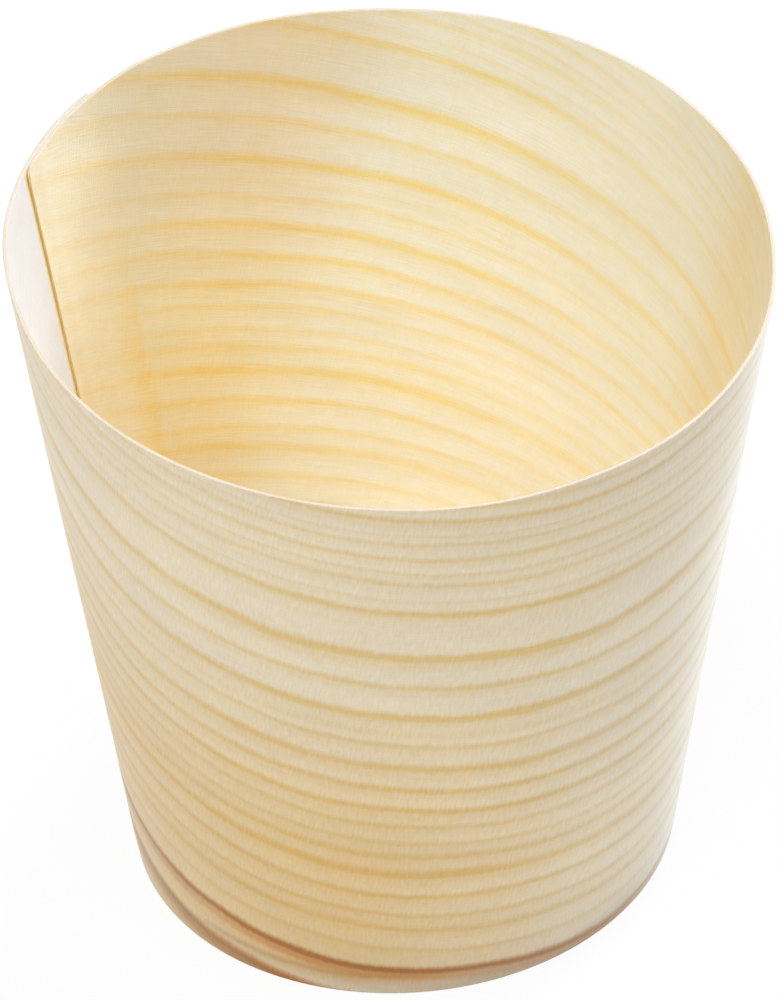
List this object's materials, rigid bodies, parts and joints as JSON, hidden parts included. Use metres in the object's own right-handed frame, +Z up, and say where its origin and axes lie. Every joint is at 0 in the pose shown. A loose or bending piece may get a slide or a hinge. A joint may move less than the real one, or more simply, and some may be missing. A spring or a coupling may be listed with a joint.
{
  "type": "disposable snack cup",
  "caption": "Disposable snack cup: a tapered wall rolled from pine veneer with a glued lap seam, on a round pine disc. Its rim is slightly oval.",
  "frame": {"origin": "middle of the underside of the base, on the surface that the cup stands on", "axes": "+Z up towards the rim; the rim's long axis lies near Y; the lap seam is on the -X side, towards +Y"},
  "size_m": [0.0562, 0.063, 0.055],
  "materials": {
    "pine_veneer": "bare, knife-cut",
    "pine_disc": "bare, sawn"
  },
  "bodies": {
    "root": {"side_wall": "pine_veneer", "base_disc": "pine_disc"}
  },
  "joints": []
}
